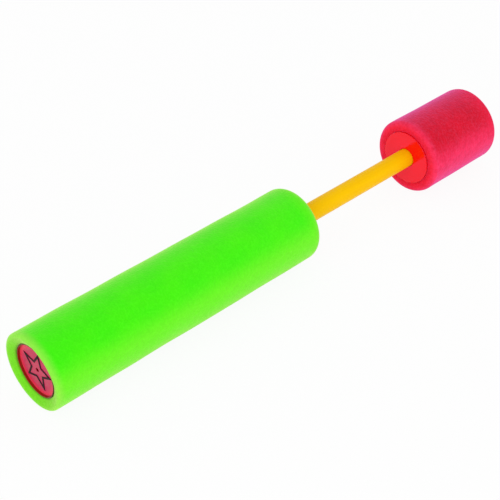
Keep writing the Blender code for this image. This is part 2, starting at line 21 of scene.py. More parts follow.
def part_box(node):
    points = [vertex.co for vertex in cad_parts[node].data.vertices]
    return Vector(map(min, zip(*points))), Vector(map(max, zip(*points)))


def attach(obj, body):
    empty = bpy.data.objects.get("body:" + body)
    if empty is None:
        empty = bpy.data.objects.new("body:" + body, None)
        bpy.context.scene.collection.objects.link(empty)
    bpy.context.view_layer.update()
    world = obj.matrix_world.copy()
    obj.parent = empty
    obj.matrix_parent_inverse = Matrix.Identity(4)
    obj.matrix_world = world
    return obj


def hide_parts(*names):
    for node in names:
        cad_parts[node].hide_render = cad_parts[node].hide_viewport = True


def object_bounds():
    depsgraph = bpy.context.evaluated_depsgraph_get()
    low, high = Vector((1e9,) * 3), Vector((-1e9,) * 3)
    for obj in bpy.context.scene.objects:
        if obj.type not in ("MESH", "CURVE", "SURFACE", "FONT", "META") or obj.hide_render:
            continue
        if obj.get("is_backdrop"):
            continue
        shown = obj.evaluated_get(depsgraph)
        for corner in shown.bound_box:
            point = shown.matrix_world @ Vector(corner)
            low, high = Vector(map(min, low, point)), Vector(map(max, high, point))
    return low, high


MM = 0.001

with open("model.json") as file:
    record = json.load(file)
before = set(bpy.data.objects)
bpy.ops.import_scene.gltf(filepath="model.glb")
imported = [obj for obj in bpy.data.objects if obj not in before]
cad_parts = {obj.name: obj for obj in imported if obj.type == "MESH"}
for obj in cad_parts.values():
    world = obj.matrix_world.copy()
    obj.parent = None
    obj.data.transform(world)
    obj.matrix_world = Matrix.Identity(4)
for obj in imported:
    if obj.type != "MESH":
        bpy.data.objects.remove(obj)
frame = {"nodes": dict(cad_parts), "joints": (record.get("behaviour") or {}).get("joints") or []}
cad_low, cad_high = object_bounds()
print("frame:", len(frame["nodes"]), "nodes,", [round(side / MM) for side in cad_high - cad_low], "mm")

# %% [markdown]
# Everything on a pump is round about one axis, so two numbers place almost any piece: how far it lies
# along the axis and how far it reaches from it. They could be typed in again, but both are read off the
# solids, so that they can't drift apart. A faceted solid's corners lie on the true round surface, so the
# largest distance of a corner from the axis is the real radius.

# %% Measure the solids
pump_axis = np.array(next(j["pos_m"] for j in frame["joints"] if j["name"] == "plunger_turn"))
AXIS_Y, AXIS_Z = pump_axis[1:]


def ends(node):
    """The x of a node's front end and of its rear end."""
    low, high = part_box(node)
    return low.x, high.x


def reach(node):
    """The least and the largest distance of a node's corners from the pump axis."""
    mesh = frame["nodes"][node].data
    corners = np.empty(3 * len(mesh.vertices), np.float32)
    mesh.vertices.foreach_get("co", corners)
    _, y, z = corners.reshape(-1, 3).T
    away = np.hypot(y - AXIS_Y, z - AXIS_Z)
    return float(away.min()), float(away.max())


for node in ("barrel_foam_sleeve", "nozzle_cap", "plunger_rod", "handle_core", "handle_foam_grip"):
    print(node, [round(v / MM, 1) for v in (*ends(node), *reach(node))])

# %% [markdown]
# A turned piece starts as a path of straight runs and arcs, seen from the side. A Bevel modifier could
# round the corners later, but an arc in the path has an exact radius. It matters, because light catches
# on a rounded edge, and a sharp one looks like a drawing. The straight runs are cut into short pieces
# as well, because the foam gets slow waves later and a long face couldn't bend.

# %% Paths with rounded corners
ARC_STEPS = 10


def rounded_path(corners, step, closed=True):
    """The path through corners of (x, radius, round).

    Each corner becomes an arc that touches both of its sides. The arc's centre lies on the line that
    halves the corner, at round / sin(half the angle), and it starts and ends at round / tan(half the
    angle) along the sides. Between arcs the path is straight, with a point about every step.
    """
    corners = np.asarray(corners, float)
    arcs = []
    for i, (x, radius, round_off) in enumerate(corners):
        here = np.array([x, radius])
        if not round_off:
            arcs.append(here[None])
            continue
        before = corners[i - 1, :2] - here
        after = corners[(i + 1) % len(corners), :2] - here
        before /= np.linalg.norm(before)
        after /= np.linalg.norm(after)
        half = math.acos(np.clip(before @ after, -1, 1)) / 2
        middle = (before + after) / np.linalg.norm(before + after)
        centre = here + middle * round_off / math.sin(half)
        side = after - before
        side /= np.linalg.norm(side)
        sweep = np.linspace(half - math.pi / 2, math.pi / 2 - half, ARC_STEPS + 1)[:, None]
        arcs.append(centre + round_off * (np.sin(sweep) * side - np.cos(sweep) * middle))
    path = []
    for i, arc in enumerate(arcs):
        path.append(arc)
        if not closed and i == len(arcs) - 1:
            break
        start, end = arc[-1], arcs[(i + 1) % len(arcs)][0]
        pieces = max(1, round(np.linalg.norm(end - start) / step))
        path.append(start + (end - start) * np.arange(1, pieces)[:, None] / pieces)
    return np.concatenate(path)


print("a rounded corner has", ARC_STEPS + 1, "points")

# %% [markdown]
# Carrying that path round the axis gives a grid of points with two parameters: the place on the path
# and the angle. A Screw modifier would do it too, but numpy works out the whole grid at once, and a
# grid can be bent by a formula before it becomes a mesh.

# %% Grids round the axis
def angles(count):
    """Even steps round a full turn, without the last, which is the first again."""
    return np.linspace(0, 2 * math.pi, count, endpoint=False)


def at_x(flat, x):
    """Flat (y, z) points about the pump axis, put at a place along it."""
    x = np.broadcast_to(x, flat.shape[:-1])
    return np.stack([x, AXIS_Y + flat[..., 0], AXIS_Z + flat[..., 1]], axis=-1)


def revolve(path, turns, swell=0, start=0):
    """A path of (x, radius) carried round the pump axis.

    The point at angle t is (x, axis y + r cos t, axis z + r sin t), where r is the radius plus a swell,
    which may be a grid of its own.
    """
    turn = start + angles(turns)
    radius = path[:, 1:] + swell
    return at_x(np.stack([radius * np.cos(turn), radius * np.sin(turn)], axis=-1), path[:, :1])


print("pump axis at y", round(AXIS_Y / MM, 2), "and z", round(AXIS_Z / MM, 2), "mm")

# %% [markdown]
# Each square of four neighbours in a grid is a face. One mesh may hold several grids, which meet at
# shared points. Merging those points closes the seams and the poles, and only then can Blender tell the
# inside from the outside and turn every face outwards. A finished piece rides on a body of the frame.

# %% Meshes and pieces from grids
MERGE_DISTANCE = 1e-7
SHARP_ANGLE = math.radians(35)


def grid_faces(rows, columns, wrap_rows, wrap_columns):
    """Each face joins a grid point to the next in its row, in the next row, and diagonally."""
    row, column = np.meshgrid(
        np.arange(rows if wrap_rows else rows - 1),
        np.arange(columns if wrap_columns else columns - 1),
        indexing="ij",
    )
    next_row, next_column = (row + 1) % rows, (column + 1) % columns
    around = [(row, column), (next_row, column), (next_row, next_column), (row, next_column)]
    return np.stack([r * columns + c for r, c in around], axis=-1).reshape(-1, 4)


def build_mesh(name, grids):
    """One mesh from grids of (points, wrap rows, wrap columns), with seams and poles merged and every
    face turned outwards."""
    points, faces, first = [], [], 0
    for grid, wrap_rows, wrap_columns in grids:
        rows, columns = grid.shape[:2]
        points.append(grid.reshape(-1, 3))
        faces.append(grid_faces(rows, columns, wrap_rows, wrap_columns) + first)
        first += rows * columns
    mesh = bpy.data.meshes.new(name)
    mesh.from_pydata(np.concatenate(points).tolist(), [], np.concatenate(faces).tolist())
    solid = bmesh.new()
    solid.from_mesh(mesh)
    bmesh.ops.remove_doubles(solid, verts=solid.verts, dist=MERGE_DISTANCE)
    bmesh.ops.recalc_face_normals(solid, faces=solid.faces)
    solid.to_mesh(mesh)
    solid.free()
    mesh.shade_smooth()
    mesh.set_sharp_from_angle(angle=SHARP_ANGLE)
    return mesh


def add_piece(name, grids, material, body, stands_for=()):
    """A finished piece that rides on a body, in place of the CAD nodes that it stands for."""
    piece = bpy.data.objects.new(name, build_mesh(name, grids))
    bpy.context.scene.collection.objects.link(piece)
    piece.data.materials.append(material)
    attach(piece, body)
    if stands_for:
        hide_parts(*stands_for)
    print(name, len(piece.data.polygons), "faces")
    return piece


# %% [markdown]
# Materials come next. Their nodes could be laid out by hand in the Shader Editor, but in a script one
# recipe serves several finishes. A few short helpers keep it readable: they add a node with its values,
# a calculation, a smooth step, a noise and a mix of two colours.

# %% Helpers for nodes
def add_node(tree, kind, inputs=None, **settings):
    """A node with values, or sockets to link from, for its named or numbered inputs."""
    node = tree.nodes.new(kind)
    for key, value in settings.items():
        setattr(node, key, value)
    for key, value in (inputs or {}).items():
        if isinstance(value, bpy.types.NodeSocket):
            tree.links.new(value, node.inputs[key])
        else:
            node.inputs[key].default_value = value
    return node


def math_node(tree, operation, *values):
    """The result of one calculation."""
    return add_node(tree, "ShaderNodeMath", dict(enumerate(values)), operation=operation).outputs[0]


def ramp(tree, value, low, high, to_low=0.0, to_high=1.0):
    """A smooth step from to_low to to_high while the value goes from low to high."""
    inputs = {"Value": value, "From Min": low, "From Max": high, "To Min": to_low, "To Max": to_high}
    return add_node(tree, "ShaderNodeMapRange", inputs, interpolation_type="SMOOTHSTEP").outputs[0]


def noise(tree, place, scale, detail):
    """Cloudy values about one half, with so many steps of finer detail."""
    inputs = {"Vector": place, "Scale": scale, "Detail": detail}
    return add_node(tree, "ShaderNodeTexNoise", inputs).outputs["Fac"]


def mix_colour(tree, factor, first, second, blend_type="MIX"):
    """Sockets 6 and 7 of a colour Mix node are its A and B, and output 2 its colour."""
    inputs = {0: factor, 6: first, 7: second}
    return add_node(tree, "ShaderNodeMix", inputs, data_type="RGBA", blend_type=blend_type).outputs[2]


def new_group(name, inputs, outputs):
    """An empty shader node group with float sockets, apart from the vector input."""
    group = bpy.data.node_groups.new(name, "ShaderNodeTree")
    group.interface.new_socket("Vector", in_out="INPUT", socket_type="NodeSocketVector")
    for label, value in inputs.items():
        socket = group.interface.new_socket(label, in_out="INPUT", socket_type="NodeSocketFloat")
        socket.default_value = value
    for label in outputs:
        group.interface.new_socket(label, in_out="OUTPUT", socket_type="NodeSocketFloat")
    return group, group.nodes.new("NodeGroupInput").outputs, group.nodes.new("NodeGroupOutput").inputs


# %% [markdown]
# Closed-cell foam is full of tiny bubbles. Where its skin is open, some bubbles look like small dark
# pores. Plain noise could stand for them, but a Voronoi texture has their structure: its distance is
# zero in the middle of a cell and grows towards the walls. Two sizes of cell together look less regular
# than one. Both foams use this group, each with its own share of open cells.

# %% Node group for foam cells
FINE_SCALE = 2.3
PATCH_SCALE = 0.35
SPOT_SCALE = 0.5
CLOUD_SCALE = 0.06
COARSE_SHARE = 0.65
FINE_SHARE = 0.35
HOLLOW_RANGE = (0.15, 0.5)
OPEN_START = 0.6
OPEN_WIDTH = 0.15
SPOT_RANGE = (0.35, 0.75)

foam_cells, group_in, group_out = new_group(
    "foam_cells", {"Cell Size": 1 * MM, "Open Share": 0.4}, ["Height", "Pores", "Spots", "Mottle"]
)
cells_per_metre = math_node(foam_cells, "DIVIDE", 1.0, group_in["Cell Size"])


def cell_scale(factor):
    """The scale of a pattern with so many steps to one cell."""
    return math_node(foam_cells, "MULTIPLY", cells_per_metre, factor)


def weighed_cells(scale, weight):
    """The distance from the middle of the nearest cell, times a weight."""
    inputs = {"Vector": group_in["Vector"], "Scale": scale}
    distance = add_node(foam_cells, "ShaderNodeTexVoronoi", inputs).outputs["Distance"]
    return math_node(foam_cells, "MULTIPLY", distance, weight)


walls = math_node(
    foam_cells, "ADD",
    weighed_cells(cells_per_metre, COARSE_SHARE),
    weighed_cells(cell_scale(FINE_SCALE), FINE_SHARE),
)
hollow = ramp(foam_cells, walls, *HOLLOW_RANGE, 1.0, 0.0)
closed_share = math_node(foam_cells, "SUBTRACT", 1.0, group_in["Open Share"])
open_cells = ramp(
    foam_cells, noise(foam_cells, group_in["Vector"], cell_scale(PATCH_SCALE), 3.0),
    math_node(foam_cells, "MULTIPLY", closed_share, OPEN_START),
    math_node(foam_cells, "ADD", closed_share, OPEN_WIDTH),
)
spots = noise(foam_cells, group_in["Vector"], cell_scale(SPOT_SCALE), 1.0)
clouds = noise(foam_cells, group_in["Vector"], cell_scale(CLOUD_SCALE), 4.0)
foam_cells.links.new(walls, group_out["Height"])
foam_cells.links.new(math_node(foam_cells, "MULTIPLY", hollow, open_cells), group_out["Pores"])
foam_cells.links.new(ramp(foam_cells, spots, *SPOT_RANGE), group_out["Spots"])
foam_cells.links.new(clouds, group_out["Mottle"])
print("foam_cells:", len(foam_cells.nodes), "nodes")

# %% [markdown]
# Moulded plastic is smooth, but never evenly so: the mould leaves a faint orange-peel, and hands leave
# dull patches. Scratches would suit a hard case, but this soft, oily plastic hardly shows any, so both
# come from noise, one fine and one broad. The group gives a height for the bump and a smudge mask.

# %% Node group for moulded plastic
SMUDGE_RANGE = (0.35, 0.7)

plastic_skin, group_in, group_out = new_group(
    "plastic_skin", {"Grain Size": 0.8 * MM, "Smudge Size": 12 * MM}, ["Height", "Smudge"]
)
grain_scale = math_node(plastic_skin, "DIVIDE", 1.0, group_in["Grain Size"])
smudge_scale = math_node(plastic_skin, "DIVIDE", 1.0, group_in["Smudge Size"])
smudges = noise(plastic_skin, group_in["Vector"], smudge_scale, 5.0)
plastic_skin.links.new(noise(plastic_skin, group_in["Vector"], grain_scale, 2.0), group_out["Height"])
plastic_skin.links.new(ramp(plastic_skin, smudges, *SMUDGE_RANGE), group_out["Smudge"])
print("plastic_skin:", len(plastic_skin.nodes), "nodes")

# %% [markdown]
# A finish often depends on its place on the piece: dirt lies in a corner, and an end is rubbed. A mask
# for that could be painted on, but on a round toy a formula says it better, from the place along the
# axis and the distance from it. Object coordinates are metres in the frame here, because every piece
# sits at the origin, so a cell size of 0.001 is a real millimetre.

# %% Materials and places on a piece
def new_material(name, **values):
    """A material with values on its shader's own sockets, and its place in the frame to read from."""
    material = bpy.data.materials.new(name)
    material.use_nodes = True
    tree = material.node_tree
    shader = tree.nodes["Principled BSDF"]
    for label, value in values.items():
        shader.inputs[label.replace("_", " ")].default_value = value
    place = add_node(tree, "ShaderNodeTexCoord").outputs["Object"]
    return material, tree, shader, place


def add_bump(tree, shader, height, strength, distance):
    """Tilts the shader's normal as if the surface rose and fell by a distance."""
    inputs = {"Height": height, "Strength": strength, "Distance": distance}
    bump = add_node(tree, "ShaderNodeBump", inputs)
    tree.links.new(bump.outputs["Normal"], shader.inputs["Normal"])


def axis_distance(tree, place):
    """The distance from the pump axis, as the length of (0, y - axis y, z - axis z)."""
    inputs = {"Vector": place, "Location": (0, -AXIS_Y, -AXIS_Z), "Scale": (0, 1, 1)}
    across = add_node(tree, "ShaderNodeMapping", inputs).outputs[0]
    return add_node(tree, "ShaderNodeVectorMath", {0: across}, operation="LENGTH").outputs["Value"]


def coordinate(tree, place, axis):
    """One of a place's X, Y and Z."""
    return add_node(tree, "ShaderNodeSeparateXYZ", {0: place}).outputs[axis]


def tint_where(material, mask, colour):
    """Mixes another colour into a material's own, where a mask of the tree and the place says so."""
    tree = material.node_tree
    base = tree.nodes["Principled BSDF"].inputs["Base Color"]
    place = add_node(tree, "ShaderNodeTexCoord").outputs["Object"]
    mixed = mix_colour(tree, mask(tree, place), base.links[0].from_socket, (*colour, 1))
    tree.links.new(mixed, base)


# %% [markdown]
# A foam tube's skin was melted as it was extruded, while its ends were cut, so the front face has a
# colour of its own. Its rounded front edge is painted paler, as a highlight, and the rear end is a little
# paler. The lower side is painted paler too, as light bounced up from the floor, and the edge of the bore
# is painted darker, as shade. Each mark is a smooth step in the distance along the axis, from it or from
# the floor, and it fades out softly.

# %% Marks on a foam tube
CUT_DEPTH = 2.5 * MM
CUT_EDGE = 4.5 * MM
CUT_SHARE = 0.88
PALER_REAR_REACH = 16 * MM
PALER_REAR_SHARE = 0.6
EDGE_LEAD = 2 * MM
EDGE_REACH = 7 * MM
EDGE_SHARE = 0.8
LOWER_START = 0.7
LOWER_END = 0.1
LOWER_SHARE = 0.85


def cut_face(tree, place, node):
    """Largest on a foam tube's front face, fading out over its rounded edge."""
    front, outer = ends(node)[0], reach(node)[1]
    x = coordinate(tree, place, "X")
    near_front = ramp(tree, x, front + CUT_DEPTH, front + 2 * CUT_DEPTH, 1.0, 0.0)
    inside = ramp(tree, axis_distance(tree, place), outer - CUT_EDGE, outer, CUT_SHARE, 0.0)
    return math_node(tree, "MULTIPLY", near_front, inside)


# Painted shade: the end faces are made darker next to the bore.
def mouth_edge(tree, place, node, width, share):
    """Largest at a foam tube's bore, fading out over a width of its end faces."""
    bore = reach(node)[0]
    return ramp(tree, axis_distance(tree, place), bore, bore + width, share, 0.0)


def paler_towards_rear(tree, place, node):
    """Largest at a foam tube's rear end, fading out along it."""
    rear = ends(node)[1]
    return ramp(tree, coordinate(tree, place, "X"), rear - PALER_REAR_REACH, rear, 0.0, PALER_REAR_SHARE)


# Painted highlight: the rounded front edge is made paler, as light catching its rounding.
def front_edge(tree, place, node):
    """Largest at a foam tube's front end, fading out over its rounded edge."""
    front = ends(node)[0]
    x = coordinate(tree, place, "X")
    return ramp(tree, x, front - EDGE_LEAD, front + EDGE_REACH, EDGE_SHARE, 0.0)


# Painted light: the lower side of a foam tube is made paler, as light bounced up from the floor.
def lower_side(tree, place, node):
    """Zero on top of a foam tube, growing down to about the height of its axis."""
    outer = reach(node)[1]
    height = coordinate(tree, place, "Z")
    return ramp(tree, height, AXIS_Z + LOWER_END * outer, AXIS_Z + LOWER_START * outer, LOWER_SHARE, 0.0)


# %% [markdown]
# The foams share one recipe. Their colour drifts from patch to patch, and the marks are laid over it one
# by one. Pores and spots then darken whatever is there, and thin cell walls brighten it, because the
# cells show through every mark. Foam is matte, but its walls also catch light at a glancing angle, so
# the flanks of a tube look paler than its middle. A pale stripe painted there would stay put when the
# view turns, and the shader's sheen moves with it; only the lower flank is painted paler as well, as
# light bounced up from the floor.

# %% Foam finishes
FOAM_BUMP = 0.2
FOAM_ROUGHNESS = (0.76, 0.95)
MOTTLE_RANGE = (0.35, 0.7)
WALL_RANGE = (0.45, 0.75)


def foam(name, node, colours, mouth, cell_size, open_share, pores, spots, sheen_tint):
    """A foam's material, whose colours are its skin, the marks on it, its pores and its cell walls."""
    material, tree, shader, place = new_material(
        name, Specular_IOR_Level=0.05, Sheen_Weight=1.0, Sheen_Roughness=0.44,
        Sheen_Tint=(*sheen_tint, 1),
    )
    inputs = {"Vector": place, "Cell Size": cell_size, "Open Share": open_share}
    cells = add_node(tree, "ShaderNodeGroup", inputs, node_tree=foam_cells).outputs
    # The lower side's mark is painted light from the floor, the front edge's a painted highlight, and the
    # mouth's painted shade.
    marks = {
        "pale": ramp(tree, cells["Mottle"], *MOTTLE_RANGE),
        "worn": lower_side(tree, place, node),
        "rubbed": paler_towards_rear(tree, place, node),
        "edge": front_edge(tree, place, node),
        "cut": cut_face(tree, place, node),
        "mouth": mouth_edge(tree, place, node, *mouth),
    }
    colour = (*colours["skin"], 1)
    for mark, mask in marks.items():
        colour = mix_colour(tree, mask, colour, (*colours[mark], 1))
    pore_depth = math_node(tree, "MULTIPLY", cells["Pores"], pores)
    spot_depth = math_node(tree, "MULTIPLY", cells["Spots"], spots)
    depth = math_node(tree, "MAXIMUM", pore_depth, spot_depth)
    colour = mix_colour(tree, depth, colour, (*colours["deep"], 1), "MULTIPLY")
    pale_walls = ramp(tree, cells["Height"], *WALL_RANGE)
    colour = mix_colour(tree, pale_walls, colour, (*colours["wall"], 1), "ADD")
    tree.links.new(colour, shader.inputs["Base Color"])
    tree.links.new(ramp(tree, cells["Pores"], 0.0, 1.0, *FOAM_ROUGHNESS), shader.inputs["Roughness"])
    add_bump(tree, shader, cells["Height"], FOAM_BUMP, cell_size)
    print(name, len(tree.nodes), "nodes")
    return material


# In both foams the lower side's and the front edge's colours are painted light, and the mouth's colour is
# painted shade.
green_foam = foam(
    "green_foam", "barrel_foam_sleeve",
    dict(
        skin=(0.043, 0.84, 0.0004), pale=(0.056, 0.86, 0.0004), worn=(0.148, 0.87, 0.011),
        rubbed=(0.155, 0.86, 0.010), edge=(0.345, 0.76, 0.082), cut=(0.155, 0.70, 0.007),
        mouth=(0.10, 0.28, 0.003), deep=(0.72, 0.79, 0.9), wall=(0.009, 0.036, 0.0024),
    ),
    mouth=(1.6 * MM, 0.6), cell_size=1.5 * MM, open_share=0.35, pores=0.35, spots=0.2,
    sheen_tint=(0.72, 1.0, 0.30),
)
red_foam = foam(
    "red_foam", "handle_foam_grip",
    dict(
        skin=(0.665, 0.0005, 0.005), pale=(0.725, 0.0015, 0.009), worn=(0.97, 0.022, 0.086),
        rubbed=(0.90, 0.008, 0.036), edge=(0.98, 0.042, 0.130), cut=(0.98, 0.008, 0.018),
        mouth=(0.86, 0.001, 0.003), deep=(0.72, 0.2, 0.26), wall=(0.02, 0.0095, 0.019),
    ),
    mouth=(5 * MM, 0.9), cell_size=1.7 * MM, open_share=0.5, pores=0.4, spots=0.45,
    sheen_tint=(1.0, 0.245, 0.74),
)

# %% [markdown]
# The plastics are glossier. The disc in the handle mirrors the rod faintly, which only shows where its
# roughness is low. A specular tint takes some green out of its reflections, so that the white room
# makes the red pinkish and not orange. The star's black is a thin coat of paint on the moulded line. One
# recipe does for all of them, and for rubber and wire too, because they differ only in colour, grain and
# gloss.

# %% Plastic, paint, rubber and steel finishes
SMUDGE_TINT = 0.5
GRAIN_DEPTH = 0.05 * MM


def plastic(name, colour, worn, grain_size, gloss, dull, bump, **values):
    """A moulded material, duller and nearer to its smudged colour where it is smudged."""
    material, tree, shader, place = new_material(name, **values)
    inputs = {"Vector": place, "Grain Size": grain_size}
    skin = add_node(tree, "ShaderNodeGroup", inputs, node_tree=plastic_skin).outputs
    tint = math_node(tree, "MULTIPLY", skin["Smudge"], SMUDGE_TINT)
    tree.links.new(mix_colour(tree, tint, (*colour, 1), (*worn, 1)), shader.inputs["Base Color"])
    tree.links.new(ramp(tree, skin["Smudge"], 0.0, 1.0, gloss, dull), shader.inputs["Roughness"])
    add_bump(tree, shader, skin["Height"], bump, GRAIN_DEPTH)
    print(name, len(tree.nodes), "nodes")
    return material


red_plastic = plastic(
    "red_plastic", (0.96, 0.002, 0.002), (0.93, 0.003, 0.003),
    0.7 * MM, gloss=0.10, dull=0.16, bump=0.15, Specular_IOR_Level=0.4, Specular_Tint=(1, 0.48, 1, 1),
)
# The cap's red is pinker than the handle's, and it is made darker too, as painted shade of its place
# inside the sleeve.
cap_plastic = plastic(
    "cap_plastic", (0.54, 0.008, 0.070), (0.50, 0.009, 0.074),
    0.6 * MM, gloss=0.30, dull=0.42, bump=0.3, Specular_IOR_Level=0.2,
)
yellow_plastic = plastic(
    "yellow_plastic", (0.95, 0.55, 0.001), (0.93, 0.52, 0.001),
    0.9 * MM, gloss=0.35, dull=0.45, bump=0.2, Specular_IOR_Level=0.1, Specular_Tint=(1, 0.8, 0.1, 1),
)
white_plastic = plastic(
    "white_plastic", (0.76, 0.77, 0.75), (0.70, 0.71, 0.69), 0.8 * MM, gloss=0.35, dull=0.5, bump=0.2
)
star_paint = plastic(
    "star_paint", (0.026, 0.007, 0.011), (0.036, 0.010, 0.015),
    0.4 * MM, gloss=0.5, dull=0.65, bump=0.4, Specular_IOR_Level=0.1,
)
black_rubber = plastic(
    "black_rubber", (0.012, 0.012, 0.013), (0.02, 0.02, 0.02), 0.5 * MM, gloss=0.55, dull=0.7, bump=0.3
)
drawn_steel = plastic(
    "drawn_steel", (0.43, 0.44, 0.47), (0.38, 0.39, 0.42),
    0.3 * MM, gloss=0.25, dull=0.4, bump=0.2, Metallic=1.0,
)

# %% [markdown]
# The green sleeve is a length of extruded foam tube. Its front slopes in to the nozzle, with a barely
# softened edge, and its rear edge is well rounded off. A plain tube would look machined. Foam is never
# quite true, so the tube gets slow waves of a quarter of a millimetre at most, as a sum of sines along
# it and round it. They fade out towards the bore, which the plastic inside keeps true. A saw pushes foam
# aside as it cuts, so a cut end also leans a little.

# %% Green foam sleeve
SLEEVE_FRONT_ROUND = 2.2 * MM
SLEEVE_FRONT_TILT = math.radians(27)
SLEEVE_REAR_ROUND = 7 * MM
SLEEVE_MOUTH_ROUND = 1 * MM
FOAM_TURNS = 256
FOAM_STEP = 2 * MM
WAVE_HEIGHT = 0.06 * MM
WAVES = ((1, 38.0, 0.4), (2, -61.0, 1.9), (3, 95.0, 4.1), (5, 140.0, 2.6))
END_LEAN = 0.4 * MM
LEAN_TURN = math.radians(43)
LEAN_DEPTH = 20 * MM


def slow_waves(x, turn):
    """The sum of sin(turns round * angle + waves along * x + phase), over a few such waves."""
    total = np.zeros(np.broadcast_shapes(x.shape, turn.shape))
    for round_count, along, phase in WAVES:
        total += np.sin(round_count * turn + along * x + phase)
    return total


def leaning_end(grid, end, depth, lean):
    """Moves x by lean * cos(angle - lean turn) at an end, and by less and less over a depth from it."""
    share = np.clip(1 - (grid[..., 0] - end) / depth, 0, 1)
    grid[..., 0] += lean * np.cos(angles(grid.shape[1]) - LEAN_TURN) * share


def foam_tube(front, rear, bore, outer, rounds, tilt=0.0):
    """A tube with its own round at the outer front, outer rear, rear mouth and front mouth edge.

    The front face may tilt inwards. Its sharp corner then lies before the rounded edge's crest, by
    round * (1 / tan(half the corner's angle) - 1).
    """
    corner = front + rounds[0] * (1 - 1 / math.tan((math.pi / 2 - tilt) / 2))
    mouth = corner + (outer - bore) * math.tan(tilt)
    path = rounded_path([
        (rear, outer, rounds[1]),
        (corner, outer, rounds[0]),
        (mouth, bore, rounds[3]),
        (rear, bore, rounds[2]),
    ], FOAM_STEP)
    depth = np.clip((path[:, 1:] - bore) / (outer - bore), 0, 1)
    swell = WAVE_HEIGHT * depth * slow_waves(path[:, :1], angles(FOAM_TURNS))
    return revolve(path, FOAM_TURNS, swell)


sleeve_front, sleeve_rear = ends("barrel_foam_sleeve")
sleeve_grid = foam_tube(
    sleeve_front, sleeve_rear, *reach("barrel_foam_sleeve"),
    (SLEEVE_FRONT_ROUND, SLEEVE_REAR_ROUND, SLEEVE_MOUTH_ROUND, SLEEVE_MOUTH_ROUND),
    SLEEVE_FRONT_TILT,
)
leaning_end(sleeve_grid, sleeve_front, LEAN_DEPTH, -END_LEAN)
sleeve = add_piece(
    "barrel_foam", [(sleeve_grid, True, True)], green_foam, "barrel",
    ["barrel_foam_sleeve"],
)

# %% [markdown]
# The handle's grip is a shorter and slightly thicker length of the same tube in red. Both its ends are
# cut square and hardly rounded. The sleeve's function makes it too, without the tilt. The solids leave
# room between foam and core, but real foam is glued on and hugs the core, so the bore is a little
# smaller here: an open slot would draw a black ring round the handle's disc.

# %% Red foam grip
GRIP_ROUND = 2.6 * MM
GRIP_MOUTH_ROUND = 0.5 * MM
GRIP_SQUEEZE = 0.28 * MM

grip_front, grip_rear = ends("handle_foam_grip")
grip_bore, grip_radius = reach("handle_foam_grip")
grip_grid = foam_tube(
    grip_front, grip_rear, grip_bore - GRIP_SQUEEZE, grip_radius,
    (GRIP_ROUND, GRIP_ROUND, GRIP_MOUTH_ROUND, GRIP_MOUTH_ROUND),
)
leaning_end(grip_grid, grip_rear, -LEAN_DEPTH, END_LEAN)
grip = add_piece(
    "handle_foam", [(grip_grid, True, True)], red_foam, "plunger", ["handle_foam_grip"]
)

# %% [markdown]
# The nozzle cap sits a little way inside the sleeve. It has a low rim, a flat face with the orifice in
# the middle, and a spigot behind it that goes into the barrel tube. It could be cut from a disc with
# Booleans, but the whole cap is one turned path, which keeps its faces even: from the spigot's end round
# the outside, over the rim and face, and back through the orifice.

# %% Nozzle cap path
SHELL_STEP = 2 * MM
EDGE_ROUND = 0.3 * MM
RIM_HEIGHT = 1.8 * MM
RIM_WALL = 0.8 * MM
CAP_PLATE = 2.2 * MM
SPIGOT_RADIUS = 16.4 * MM
SPIGOT_BORE = 11.5 * MM
ORIFICE_RADIUS = 1.25 * MM
NOZZLE_BOSS_RADIUS = 3.45 * MM
NOZZLE_BOSS_LENGTH = 5 * MM

cap_front, cap_rear = ends("nozzle_cap")
cap_radius = reach("nozzle_cap")[1]
rim_bore = cap_radius - RIM_WALL
face_x = cap_front + RIM_HEIGHT
plate_rear = face_x + CAP_PLATE
boss_rear = plate_rear + NOZZLE_BOSS_LENGTH
cap_path = rounded_path([
    (cap_rear, SPIGOT_RADIUS, EDGE_ROUND),
    (plate_rear, SPIGOT_RADIUS, 0),
    (plate_rear, cap_radius, 0),
    (cap_front, cap_radius, EDGE_ROUND),
    (cap_front, rim_bore, EDGE_ROUND),
    (face_x, rim_bore, EDGE_ROUND),
    (face_x, ORIFICE_RADIUS, EDGE_ROUND),
    (boss_rear, ORIFICE_RADIUS, 0),
    (boss_rear, (ORIFICE_RADIUS + NOZZLE_BOSS_RADIUS) / 2, 0),
    (plate_rear, NOZZLE_BOSS_RADIUS, 0),
    (plate_rear, SPIGOT_BORE, 0),
    (cap_rear, SPIGOT_BORE, 0),
], SHELL_STEP)
print("cap face", round((face_x - sleeve_front) / MM, 1), "mm behind the sleeve's front")

# %% [markdown]
# Towards the rim the face is painted brighter, as light bounced off the rim's wall. The corner behind the
# rim gets a dark line of painted shade, and the rim's edge gets some too. The orifice is painted dark
# inside, as shade. Ambient occlusion could shade such places, but it isn't part of an exported material,
# so each one is a step in the distance from the axis.

# %% Nozzle cap
SHELL_TURNS = 192
RIM_BOUNCE_REACH = 5 * MM
RIM_BOUNCE_SHARE = 0.9
CORNER_WIDTH = 0.3 * MM
ORIFICE_SHADE = (0.25, 0.001, 0.006)
RIM_BOUNCE_RED = (0.90, 0.040, 0.085)
CORNER_SHADE = (0.30, 0.012, 0.003)
RIM_EDGE_SHADE = (0.12, 0.025, 0.003)


def orifice_wall(tree, place):
    """One inside the orifice, fading out over its edge."""
    away = axis_distance(tree, place)
    return ramp(tree, away, ORIFICE_RADIUS, ORIFICE_RADIUS + 2 * EDGE_ROUND, 1.0, 0.0)


# Painted light: the face is made brighter towards the rim, as light bounced off the rim's wall.
def rim_bounce_light(tree, place):
    """Zero in the middle of the face, growing towards the rim."""
    return ramp(tree, axis_distance(tree, place), rim_bore - RIM_BOUNCE_REACH, rim_bore, 0.0, RIM_BOUNCE_SHARE)


